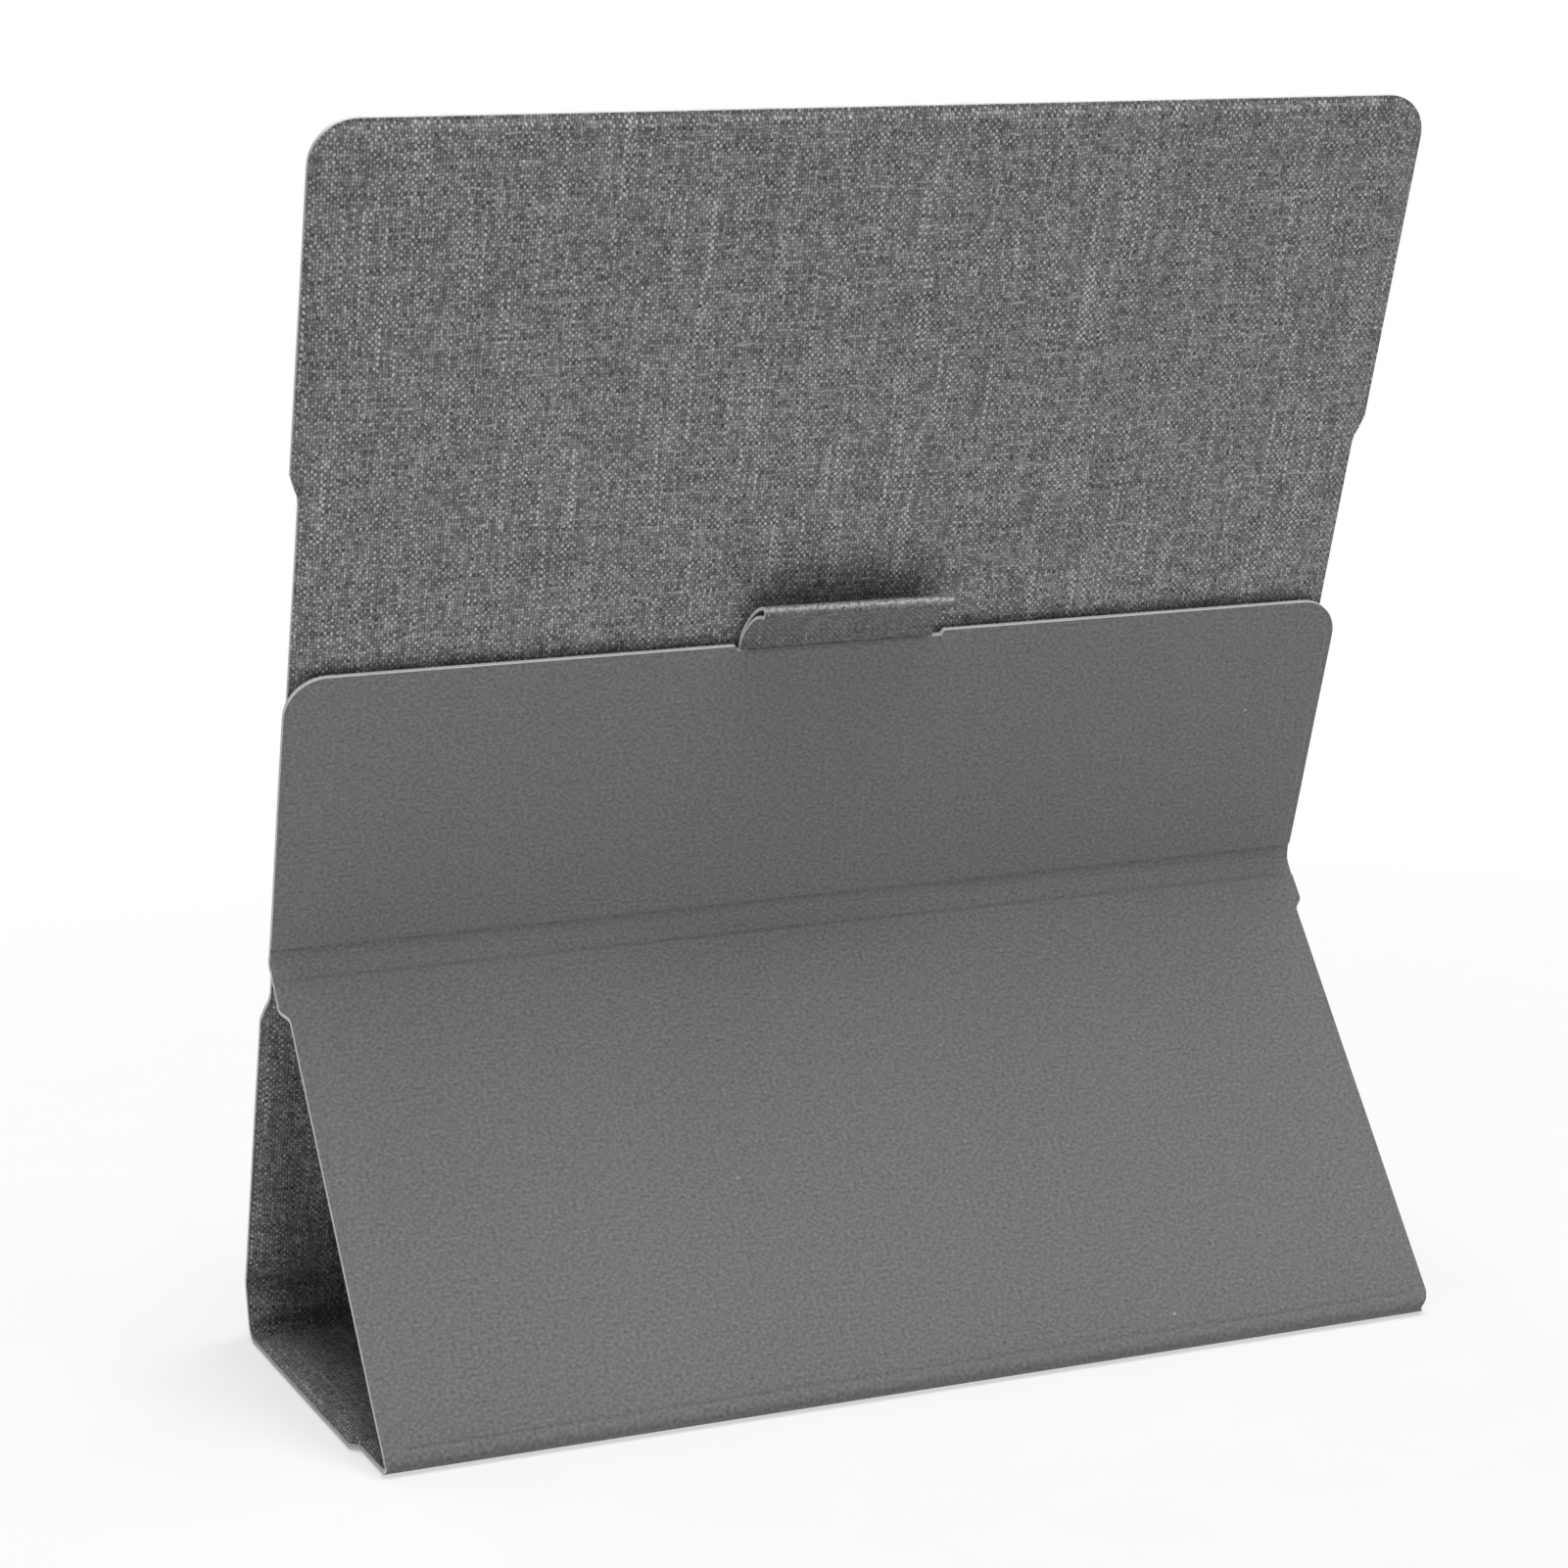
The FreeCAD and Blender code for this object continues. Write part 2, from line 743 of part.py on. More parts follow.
build_back()
build_spine()
build_base()
build_prop()
flap_place, flap_straight = build_flap()
build_tab(flap_place, flap_straight)
build_folds()
doc.recompute()
check_document()

os.makedirs("parts", exist_ok=True)
for node in nodes:
    node.Shape.exportStep(os.path.join("parts", node.Label + ".step"))
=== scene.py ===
"""Looks of the folding tablet stand case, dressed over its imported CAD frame."""
import math

import bmesh
import bpy
from mathutils import Matrix, Vector, noise
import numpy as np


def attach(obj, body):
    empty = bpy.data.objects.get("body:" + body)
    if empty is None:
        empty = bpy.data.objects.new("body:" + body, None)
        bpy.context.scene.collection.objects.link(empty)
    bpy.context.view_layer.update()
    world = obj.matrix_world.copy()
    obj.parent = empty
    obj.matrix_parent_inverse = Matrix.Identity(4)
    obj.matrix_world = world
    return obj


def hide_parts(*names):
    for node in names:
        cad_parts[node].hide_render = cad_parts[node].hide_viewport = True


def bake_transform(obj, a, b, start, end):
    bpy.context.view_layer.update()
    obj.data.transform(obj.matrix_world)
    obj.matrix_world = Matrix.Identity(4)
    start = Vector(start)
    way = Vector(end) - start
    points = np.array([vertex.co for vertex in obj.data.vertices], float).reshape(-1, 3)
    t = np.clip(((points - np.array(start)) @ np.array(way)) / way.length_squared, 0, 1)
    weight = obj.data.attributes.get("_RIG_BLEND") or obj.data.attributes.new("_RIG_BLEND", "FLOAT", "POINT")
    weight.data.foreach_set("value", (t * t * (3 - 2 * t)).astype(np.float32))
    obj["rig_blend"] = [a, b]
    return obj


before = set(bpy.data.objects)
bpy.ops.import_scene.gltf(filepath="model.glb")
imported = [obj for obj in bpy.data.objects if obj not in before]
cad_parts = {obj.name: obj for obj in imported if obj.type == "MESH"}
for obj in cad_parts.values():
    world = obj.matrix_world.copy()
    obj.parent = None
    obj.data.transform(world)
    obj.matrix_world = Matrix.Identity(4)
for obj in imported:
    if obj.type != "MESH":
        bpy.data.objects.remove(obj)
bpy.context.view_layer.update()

MM = 0.001
ACROSS = Vector((1, 0, 0))
ALONG = Vector((0, 1, 0))

# Panels, in millimetres. Heights run from the lining's face to the fabric's.
HALF_WIDTH = 82.5
RELIEF = 1.30
BACK_RAMP = 4.0
STAND_RAMP = 2.0
WRAP = 0.35
LINING_RIM = 0.15
RIM_GROOVE = 0.09
SIDE_FALL = 0.30
BOARD_LOW = 0.40
SEAM = 0.55
CLOTH_MIDDLE = 0.575
FABRIC_RIM = 1.00
BOARD_TOP = 1.40
FABRIC_FACE = 1.85
BACK_CORNER = 6.4
FLAP_CORNER = 6.0
BOARD_CORNER = 2.6
SPINE_CORNER = 0.8

# From each board's edge to the end of its panel.
RIM_WIDTH = 1.20
FOLD_MARGIN = 1.20
SPINE_MARGIN = 0.55
PROP_TOP_MARGIN = 2.40
FLAP_FOOT_MARGIN = 1.95

# Where the outline is narrower, along each panel. A place past the panel's end leaves that end narrow.
BACK_NARROW = (50.1, 136.5)
BASE_NARROW = (51.4, 200.0)
PROP_NARROW = (-50.0, 67.1)

# Corners drawn in at the stand fold: their radius on each side, the blunt tip, the fold's length.
FOLD_ROUND = 2.7
FOLD_ROUND_NEAR = 1.0
FOLD_TIP = 0.35
STAND_ARC = 2.654

# Creases pressed into the lining beside the flap's fold.
FLAP_CREASE = 0.30
PROP_CREASE = 0.20
CREASE_BACK = 0.35
CREASE_PAST = 0.10

# Where a slope of the cloth starts and ends, by the depth inside the raised face's outline.
FABRIC_SLOPE = (-0.60, 0.90)
FACE_START = (0.0, 0.9)
FACE_INSIDE = (0.3, 3.0)
LINING_SLOPE = (-0.30, 0.45)
GROOVE_SIDE = (0.05, 0.55)
BOARD_STEP = (0.15, 0.34)

# The same by the distance from the panel's side, and from its middle.
SIDE_FALL_REACH = (0.8, 3.2)
OUTLINE_REACH = (38, 78)
PINCH_REACH = 8

# Handmade unevenness: how fast it changes, then its depth and seed for each surface.
WAVER_RATE = 0.045
WAVER_SIDE = 60
CUT_WAVER = (0.10, 1.7)
FABRIC_WAVER = (0.05, 4.4)
LINING_WAVER = (0.04, 8.1)

# Side profile of the folded case, as (y, z) in millimetres.
TOP = (30.049, 180.307)
CORNER_BACK = (-35.298, 8.730)
CORNER_FRONT = (-34.050, 0.575)
CORNER_REAR = (34.050, 0.575)
APEX = (-11.849, 62.150)

# Tab, in millimetres.
TAB_HALF = 14.6
TAB_CLOTH = 0.50
TAB_PRESSED = 0.96
TAB_HEAD = 1.90
TAB_HEIGHT = 7.5
TAB_REACH = 5.05
TAB_ROOT = 0.25
TAB_TUCK = 0.75
TAB_FLARE = 0.9
TAB_LEAN = 0.06
TAB_LEVEL = 0.9
TAB_BEND = (-0.6, 1.2)
TAB_STEPS = 16
HEAD_STEPS = 12

# The notch in the flap's edge that the tab comes out of, and the cuts beside its ends.
NOTCH_SIDE = 1.6
NOTCH_DEPTH = 0.85
NOTCH_EASE = 0.25
NOTCH_REACH = 3.2
LIP_CUTS = (-0.35, -0.2, 0.0, 0.2, 0.35)

# Painted highlight along the tab's head, in steps of its outline, and the strip's own place on the cloth
# map.
HIGHLIGHT_BEFORE = 2
HIGHLIGHT_WIDTH = 1.5
TAB_MAP_PLACE = 400

# Cuts through a flat cloth: distances from its sides, then an even spacing.
EDGE_CUTS = (0.3, 0.55, 0.75, 0.9, 1.05, 1.2, 1.45, 1.8, 2.4, 3.4, 5.0, 8.0, 13.0)
EDGE_SHARE = 0.9
CLOTH_SPACING = 4.0
TAB_SPACING = 1.5
CORNER_CUTS = 10
FOLD_STEPS = 14
SAME_PLACE = 1e-6
SHARP_ANGLE = math.radians(40)


def smooth(low, high, value):
    """0 below low, 1 above high, eased between them."""
    share = min(1.0, max(0.0, (value - low) / (high - low)))
    return share * share * (3 - 2 * share)


def pinch(x, gap):
    """How far the strip's edge is drawn in, by its distance from the middle of the stand fold."""
    radius = FOLD_ROUND if x < 0 else FOLD_ROUND_NEAR
    reach = min(radius, math.hypot(gap, FOLD_TIP))
    return radius - math.sqrt(radius ** 2 - (radius - reach) ** 2)


class Panel:
    """One stiff panel: a board between two cloths, lying along the strip."""

    def __init__(self, name, corner, setback, angle, length, margins, radii, narrow, rounds=(0, 0)):
        self.name = name
        self.angle = math.radians(angle)
        self.length = length
        self.margins = margins
        self.radii = radii
        self.narrow = narrow
        self.rounds = rounds
        self.run = (math.cos(self.angle), math.sin(self.angle))
        self.start = [c + r * setback for c, r in zip(corner, self.run)]
        self.before = 0.0
        self.notched = False
        self.creases = (0.0, 0.0)
        self.pinched = (False, False)
        self.cuts = ()

    def place(self, x, v, n):
        """World point, in metres, of a spot on the panel."""
        lift = n - CLOTH_MIDDLE
        y = self.start[0] + self.run[0] * v - self.run[1] * lift
        z = self.start[1] + self.run[1] * v + self.run[0] * lift
        return Vector((x, y, z)) * MM

    def side(self, v):
        """Half the width at a place along the panel, before its corners are rounded."""
        return HALF_WIDTH - RELIEF * self.narrow(v)

    def edge(self, x, v):
        """Half the width on the side of x, with rounded corners at a free end or the stand fold."""
        half = self.side(v)
        for radius, gap in zip(self.rounds, (v, self.length - v)):
            if gap < radius:
                half -= radius - math.sqrt(max(0.0, radius ** 2 - (radius - gap) ** 2))
        for pinched, gap in zip(self.pinched, (v, self.length - v)):
            half -= pinch(x, gap + STAND_ARC / 2) if pinched else 0.0
        return half

    def depth(self, x, v):
        """How far a spot lies inside the outline of the raised face."""
        across = self.side(v) - RIM_WIDTH + WRAP - abs(x)
        first = v - self.margins[0] + WRAP
        last = self.length - self.margins[1] + WRAP - v
        along, radius = (first, self.radii[0]) if first < last else (last, self.radii[1])
        radius += WRAP
        if across < radius and along < radius:
            return radius - math.hypot(radius - across, radius - along)
        return min(across, along)


def narrow_between(first, last, ramp):
    """Relief of the outline between two places, with a ramp inside each."""
    return lambda v: smooth(first, first + ramp, v) - smooth(last - ramp, last, v)


def full_width(v):
    """No relief anywhere along the panel."""
    return 0.0


def make_panels():
    """The five panels in their order along the strip."""
    back = Panel("back", corner=TOP, setback=0, angle=-110.85, length=182.81,
                 margins=(RIM_WIDTH, FOLD_MARGIN), radii=(BACK_CORNER - RIM_WIDTH, BOARD_CORNER),
                 narrow=narrow_between(*BACK_NARROW, BACK_RAMP), rounds=(BACK_CORNER, 0))
    spine = Panel("spine", corner=CORNER_BACK, setback=0.791, angle=-81.3, length=5.226,
                  margins=(SPINE_MARGIN, SPINE_MARGIN), radii=(SPINE_CORNER, SPINE_CORNER),
                  narrow=full_width)
    base = Panel("base", corner=CORNER_FRONT, setback=2.233, angle=0, length=63.475,
                 margins=(FOLD_MARGIN, FOLD_MARGIN), radii=(BOARD_CORNER, BOARD_CORNER),
                 narrow=narrow_between(*BASE_NARROW, STAND_RAMP))
    prop = Panel("prop", corner=CORNER_REAR, setback=2.392, angle=126.701, length=73.527,
                 margins=(FOLD_MARGIN, PROP_TOP_MARGIN), radii=(BOARD_CORNER, BOARD_CORNER),
                 narrow=narrow_between(*PROP_NARROW, STAND_RAMP))
    flap = Panel("flap", corner=APEX, setback=0.881, angle=69.025, length=45.019,
                 margins=(FLAP_FOOT_MARGIN, RIM_WIDTH), radii=(BOARD_CORNER, FLAP_CORNER - RIM_WIDTH),
                 narrow=full_width, rounds=(0, FLAP_CORNER))
    return back, spine, base, prop, flap


BACK, SPINE, BASE, PROP, FLAP = make_panels()
PANELS = (BACK, SPINE, BASE, PROP, FLAP)

FLAP.notched = True
FLAP.creases = (FLAP_CREASE, 0.0)
PROP.creases = (0.0, PROP_CREASE)
BASE.pinched = (False, True)
PROP.pinched = (True, False)

# Extra cuts where an outline's ramp, a crease or the notch needs them.
BACK.cuts = (50.1, 52.1, 54.1, 132.5, 134.5, 136.5)
BASE.cuts = (51.4, 51.9, 52.4, 52.9, 53.4)
PROP.cuts = (65.1, 65.6, 66.1, 66.6, 67.1, 70.8, 70.95, 71.1, 71.3, 71.5)
FLAP.cuts = (1.5, 1.6, 1.7, 1.95, 2.1, 2.2, 42.4, 43.0)

# Folds: name, the panels on its two sides, bend radius at the cloth's middle, half width.
FOLDS = (
    ("back_fold", BACK, SPINE, 3.0, HALF_WIDTH),
    ("spine_fold", SPINE, BASE, 2.6, HALF_WIDTH),
    ("stand_fold", BASE, PROP, 1.2, HALF_WIDTH - RELIEF),
    ("flap_fold", PROP, FLAP, 1.6, HALF_WIDTH),
)
# The body that stays and the body that turns at each fold.
FOLD_ORDER = {"back_fold": ("spine", "back"), "spine_fold": ("base", "spine"),
              "stand_fold": ("base", "prop"), "flap_fold": ("prop", "flap")}


def lay_out_strip():
    """Each panel's place along the flat strip, so that the weave runs on."""
    for _, before, after, radius, _ in FOLDS:
        after.before = before.before + before.length + radius * abs(after.angle - before.angle)


lay_out_strip()


class Finish:
    """A procedural material and the nodes that it is made of."""

    def __init__(self, name):
        self.material = bpy.data.materials.new(name)
        self.material.use_nodes = True
        self.tree = self.material.node_tree
        self.shader = next(n for n in self.tree.nodes if n.type == "BSDF_PRINCIPLED")

    def put(self, socket, value):
        if isinstance(value, bpy.types.NodeSocket):
            self.tree.links.new(value, socket)
        else:
            socket.default_value = value

    def node(self, kind, inputs=(), **settings):
        made = self.tree.nodes.new(kind)
        for key, value in settings.items():
            setattr(made, key, value)
        for key, value in dict(inputs).items():
            self.put(made.inputs[key], value)
        return made

    def math(self, operation, *values):
        made = self.node("ShaderNodeMath", operation=operation)
        for socket, value in zip(made.inputs, values):
            self.put(socket, value)
        return made.outputs[0]

    def cloth_map(self):
        """Places on the flat cloth, in metres."""
        return self.node("ShaderNodeUVMap", uv_map="cloth").outputs[0]

    def solid_map(self):
        """Places in the part's frame, in metres."""
        return self.node("ShaderNodeTexCoord").outputs["Object"]

    def cells(self, x, y, z=0.0):
        """One random number for each whole-number place."""
        where = self.node("ShaderNodeCombineXYZ", {"X": x, "Y": y, "Z": z}).outputs[0]
        made = self.node("ShaderNodeTexWhiteNoise", {"Vector": where}, noise_dimensions="3D")
        return made.outputs["Value"]

    def cloud(self, where, scale, detail=2.0, roughness=0.5):
        """Soft noise between 0 and 1."""
        inputs = {"Vector": where, "Scale": scale, "Detail": detail, "Roughness": roughness}
        return self.node("ShaderNodeTexNoise", inputs).outputs["Fac"]

    def stretch(self, where, scale):
        return self.node("ShaderNodeMapping", {"Vector": where, "Scale": scale}).outputs[0]

    def span(self, value, low, high, out_low=0.0, out_high=1.0):
        """Carries one range over to another and stops at its ends."""
        made = self.node("ShaderNodeMapRange", {"Value": value}, clamp=True)
        for key, number in zip(("From Min", "From Max", "To Min", "To Max"), (low, high, out_low, out_high)):
            self.put(made.inputs[key], number)
        return made.outputs[0]

    def ramp(self, factor, stops):
        made = self.node("ShaderNodeValToRGB", {"Fac": factor})
        band = made.color_ramp
        while len(band.elements) < len(stops):
            band.elements.new(0.5)
        for element, (place, colour) in zip(band.elements, stops):
            element.position = place
            element.color = (*colour, 1.0)
        return made.outputs[0]

    def blend(self, factor, first, second):
        made = self.node("ShaderNodeMix", data_type="RGBA")
        for key, value in ((0, factor), (6, first), (7, second)):
            self.put(made.inputs[key], value)
        return made.outputs[2]

    def bump(self, height, strength, distance):
        inputs = {"Height": height, "Strength": strength, "Distance": distance}
        self.put(self.shader.inputs["Normal"], self.node("ShaderNodeBump", inputs).outputs[0])

    def surface(self, colour, roughness, **constants):
        self.put(self.shader.inputs["Base Color"], colour)
        self.put(self.shader.inputs["Roughness"], roughness)
        for key, value in constants.items():
            self.shader.inputs[key.replace("_", " ")].default_value = value
        return self.material


def grey(level):
    """A neutral grey of that linear level."""
    return (level, level, level)


# Weave: the threads' pitch in metres, then how far they stray, counted in threads.
THREAD_ACROSS = 0.00045
THREAD_ALONG = 0.00050
DRIFT_RATES = (420, 420, 420)
DRIFT = 0.6
ROW_SHIFT = 0.4
COLUMN_SHIFT = 0.5
ROW_SEED = 71.0
COLUMN_SEED = 73.0
EVEN_START = 4000.0

# Yarn: flecks as seed step, length in crossings and share of the tone; slubs as seed, length and strength.
FLECKS = ((0.0, 1.1, 0.52), (7.0, 4.0, 0.24), (15.0, 13.0, 0.26))
FLECK_SEED = 3.0
FLECK_OFFSET = 9.0
WEFT_SEED = 11.0
WARP_SEED = 43.0
WARP_LIGHTER = 0.10
WARP_SLUB = (47.0, 24.0, 0.34)
WEFT_SLUB = (53.0, 13.0, 0.10)
SLUB_ABOVE = 0.94
FIBRE_RATES = (3600, 4600, 1)
FIBRE_SHARE = 0.55

# Floats of the weave: how their height follows the crowns, as factor and start, and how they narrow. This
# height also paints shade between the threads and highlight on their crowns.
WEFT_FLOAT = (0.38, 0.15)
WARP_FLOAT = (0.66, 0.34)
WEFT_NARROWS = (0.0, 0.7, 0.35, 1.0)
TONE_SHARE = (0.74, -0.16)
# Share of the crowns' height painted into the colour: painted shade between threads, painted highlight on
# their crowns.
PAINTED_CROWN_LIGHT_SHARE = 0.46
TONE_HEIGHT = 0.35
WEAVE_STOPS = (0.05, 0.5, 0.95)
WEAVE_ROUGHNESS = (0.82, 0.94)
# Painted highlight on the tab's head: how fine its patches are, their range and its pale grey.
HIGHLIGHT_PATCH_RATES = (1900, 2600, 1)
HIGHLIGHT_PATCHES = (0.30, 0.60)
HIGHLIGHT_LEVEL = 0.62


def weave_threads(finish, where):
    """Places across and along the cloth, counted in threads, and their whole columns and rows."""
    drift = finish.cloud(finish.stretch(where, DRIFT_RATES), 1.0)
    part = finish.node("ShaderNodeSeparateXYZ", {"Vector": where})
    stray = finish.math("MULTIPLY_ADD", drift, DRIFT, -DRIFT / 2)
    across = finish.math("MULTIPLY_ADD", part.outputs[0], 1 / THREAD_ACROSS, stray)
    along = finish.math("MULTIPLY_ADD", part.outputs[1], 1 / THREAD_ALONG, stray)
    shift_row = finish.cells(finish.math("FLOOR", along), ROW_SEED)
    shift_column = finish.cells(finish.math("FLOOR", across), COLUMN_SEED)
    across = finish.math("MULTIPLY_ADD", shift_row, ROW_SHIFT, across)
    along = finish.math("MULTIPLY_ADD", shift_column, COLUMN_SHIFT, along)
    return across, along, finish.math("FLOOR", across), finish.math("FLOOR", along)


def heather(finish, place, thread, seed, run):
    """Tone of a spun yarn: flecks of a few crossings in length, each of its own grey."""
    offset = finish.math("MULTIPLY", finish.cells(thread, seed, FLECK_SEED), FLECK_OFFSET)
    fleck = finish.math("FLOOR", finish.math("MULTIPLY_ADD", place, 1.0 / run, offset))
    return finish.cells(fleck, thread, seed)


def yarn_tone(finish, place, thread, seed):
    """Tone along one set of yarns: short flecks, longer ones and whole lighter or darker lengths."""
    tone = 0.0
    for step, run, share in FLECKS:
        tone = finish.math("MULTIPLY_ADD", heather(finish, place, thread, seed + step, run), share, tone)
    return tone


def slub(finish, place, thread, kind):
    """Extra lightness on the few lengths of yarn that stand out of the cloth."""
    seed, run, strength = kind
    chosen = finish.cells(finish.math("FLOOR", finish.math("DIVIDE", place, run)), thread, seed)
    return finish.math("MULTIPLY", finish.math("GREATER_THAN", chosen, SLUB_ABOVE), strength)


def top_thread(finish, weft, warp, over):
    """The value of whichever thread lies on top."""
    return finish.math("MULTIPLY_ADD", finish.math("SUBTRACT", warp, weft), over, weft)


def thread_crown(finish, place):
    """The round of a thread over its width."""
    return finish.math("SINE", finish.math("MULTIPLY", finish.math("FRACT", place), math.pi))


def weave_crown(finish, across, along, over):
    """Height of the weave: a round float wherever one thread passes over the other; woven() also paints it
    into the colour as shade between threads and highlight on their crowns.
    """
    crown_weft = thread_crown(finish, along)
    crown_warp = thread_crown(finish, across)
    narrows = finish.span(crown_warp, *WEFT_NARROWS)
    float_weft = finish.math("MULTIPLY", finish.math("MULTIPLY_ADD", crown_weft, *WEFT_FLOAT), narrows)
    float_warp = finish.math("MULTIPLY", crown_warp, finish.math("MULTIPLY_ADD", crown_weft, *WARP_FLOAT))
    return top_thread(finish, float_weft, float_warp, over)


def weave_tone(finish, where, threads, over):
    """Tone of the weave: the yarn on top, its slubs and its fibres."""
    across, along, column, row = threads
    weft = yarn_tone(finish, across, row, WEFT_SEED)
    warp = finish.math("ADD", yarn_tone(finish, along, column, WARP_SEED), WARP_LIGHTER)
    tone = top_thread(finish, weft, warp, over)
    tone = finish.math("MULTIPLY_ADD", slub(finish, along, column, WARP_SLUB), over, tone)
    weft_over = finish.math("SUBTRACT", 1.0, over)
    tone = finish.math("MULTIPLY_ADD", slub(finish, across, row, WEFT_SLUB), weft_over, tone)
    fibre = finish.cloud(finish.stretch(where, FIBRE_RATES), 1.0, 1.0)
    return finish.math("MULTIPLY_ADD", finish.math("SUBTRACT", fibre, 0.5), FIBRE_SHARE, tone)


def painted_highlight(finish, where, colour):
    """Painted highlight: paler, in patches, where the piece is marked for it."""
    head_highlight = finish.node("ShaderNodeAttribute", attribute_name="head_highlight").outputs["Fac"]
    patchy = finish.cloud(finish.stretch(where, HIGHLIGHT_PATCH_RATES), 1.0, 2.0, 0.6)
    highlight_share = finish.math("MULTIPLY", head_highlight, finish.span(patchy, *HIGHLIGHT_PATCHES))
    return finish.blend(highlight_share, colour, (*grey(HIGHLIGHT_LEVEL), 1.0))


def woven(name, levels, highlighted=False):
    """Heathered grey plain weave, from its darkest level to its lightest."""
    finish = Finish(name)
    where = finish.cloth_map()
    threads = weave_threads(finish, where)
    across, along, column, row = threads
    crossing = finish.math("ADD", finish.math("ADD", column, row), EVEN_START)
    over = finish.math("MODULO", crossing, 2.0)
    crown = weave_crown(finish, across, along, over)
    tone = weave_tone(finish, where, threads, over)
    # Painted shade and highlight: the crowns' height makes the colour darker between the threads and lighter
    # on their crowns.
    shade = finish.math("MULTIPLY_ADD", crown, PAINTED_CROWN_LIGHT_SHARE, finish.math("MULTIPLY_ADD", tone, *TONE_SHARE))
    colour = finish.ramp(shade, [(stop, grey(level)) for stop, level in zip(WEAVE_STOPS, levels)])
    # Painted highlight along the tab's head, where the piece is marked for it.
    if highlighted:
        colour = painted_highlight(finish, where, colour)
    finish.bump(finish.math("MULTIPLY_ADD", tone, TONE_HEIGHT, crown), 0.45, 0.00018)
    rough = finish.span(tone, 0.0, 1.0, *WEAVE_ROUGHNESS)
    return finish.surface(colour, rough, Specular_IOR_Level=0.15, Sheen_Weight=0.04, Sheen_Roughness=0.5)


# Lining: how fine its nap, mottling and brush marks are, and their shares of the tone.
NAP_RATES = (1750, 2050, 1)
NAP_SHARE = 0.78
MOTTLE_RATE = 420.0
MOTTLE_SHARE = 0.14
BRUSH_RATES = (35, 12, 1)
BRUSH_SHARE = 0.08
NAP_STOPS = ((0.28, 0.68), (0.5, 1.0), (0.72, 1.36))
NAP_HEIGHT = 0.7
MOTTLE_HEIGHT = 0.5
MOTTLE_ROUGHNESS = (0.3, 0.7, 0.84, 0.96)

# Lint and hairs: colour channel that picks them, how rare they are, their size and their strength.
LINT_RATE = 230.0
LINT = (0, 0.955, (0.035, 0.085), 1.0)
HAIR_RATES = (40, 150, 1)
HAIR = (1, 0.975, (0.02, 0.05), 0.5)
FLUFF_SHARE = 0.75
FLUFF_LEVEL = 0.42


def specks(finish, where, rate, kind):
    """Small specks strewn over the cloth."""
    channel, rarity, size, strength = kind
    spots = finish.node("ShaderNodeTexVoronoi", {"Vector": where, "Scale": rate})
    draws = finish.node("ShaderNodeSeparateColor", {"Color": spots.outputs["Color"]})
    kept = finish.math("GREATER_THAN", draws.outputs[channel], rarity)
    return finish.math("MULTIPLY", finish.span(spots.outputs["Distance"], *size, strength, 0.0), kept)


def microfibre(name, level):
    """Smooth brushed lining with a fine nap, soft mottling and a little lint."""
    finish = Finish(name)
    where = finish.cloth_map()
    nap = finish.cloud(finish.stretch(where, NAP_RATES), 1.0, 1.0)
    mottle = finish.cloud(where, MOTTLE_RATE, 3.0, 0.6)
    brushed = finish.cloud(finish.stretch(where, BRUSH_RATES), 1.0, 3.0)
    shade = finish.math("MULTIPLY_ADD", nap, NAP_SHARE, finish.math("MULTIPLY", mottle, MOTTLE_SHARE))
    shade = finish.math("MULTIPLY_ADD", brushed, BRUSH_SHARE, shade)
    colour = finish.ramp(shade, [(stop, grey(level * part)) for stop, part in NAP_STOPS])
    lint = specks(finish, where, LINT_RATE, LINT)
    hair = specks(finish, finish.stretch(where, HAIR_RATES), 1.0, HAIR)
    fluff = finish.math("MULTIPLY", finish.math("MAXIMUM", lint, hair), FLUFF_SHARE)
    colour = finish.blend(fluff, colour, (*grey(FLUFF_LEVEL), 1.0))
    height = finish.math("MULTIPLY_ADD", nap, NAP_HEIGHT, finish.math("MULTIPLY", mottle, MOTTLE_HEIGHT))
    finish.bump(height, 0.35, 0.00012)
    rough = finish.span(mottle, *MOTTLE_ROUGHNESS)
    return finish.surface(colour, rough, Specular_IOR_Level=0.2, Sheen_Weight=0.22, Sheen_Roughness=0.45)


ENDS_RATE = 3200.0
ENDS_SHARE = 0.6
PATCH_RATE = 260.0
PATCH_SHARE = 0.4
BOARD_RATES = (900, 2600, 2600)
BOARD_DARK = (0.17, 0.155, 0.135)
BOARD_LIGHT = (0.29, 0.27, 0.24)
ROLLING_RATES = (300, 6000, 6000)
ROLLING_SPREAD = 0.14


def cut_edge(name, low, high):
    """The pale raw edge of a cut cloth, with its fibre ends."""
    finish = Finish(name)
    where = finish.solid_map()
    ends = finish.cloud(where, ENDS_RATE, 3.0, 0.7)
    patch = finish.cloud(where, PATCH_RATE, 3.0, 0.6)
    shade = finish.math("MULTIPLY_ADD", ends, ENDS_SHARE, finish.math("MULTIPLY", patch, PATCH_SHARE))
    colour = finish.ramp(shade, ((0.28, grey(low)), (0.55, grey((low + high) / 2)), (0.75, grey(high))))
    finish.bump(ends, 0.4, 0.0001)
    return finish.surface(colour, finish.span(ends, 0.2, 0.8, 0.85, 0.98), Specular_IOR_Level=0.2)


def greyboard(name):
    """Pressed fibre board."""
    finish = Finish(name)
    fibre = finish.cloud(finish.stretch(finish.solid_map(), BOARD_RATES), 1.0, 4.0, 0.7)
    colour = finish.ramp(fibre, ((0.3, BOARD_DARK), (0.7, BOARD_LIGHT)))
    finish.bump(fibre, 0.3, 0.0001)
    return finish.surface(colour, finish.span(fibre, 0.2, 0.8, 0.8, 0.95), Specular_IOR_Level=0.25)


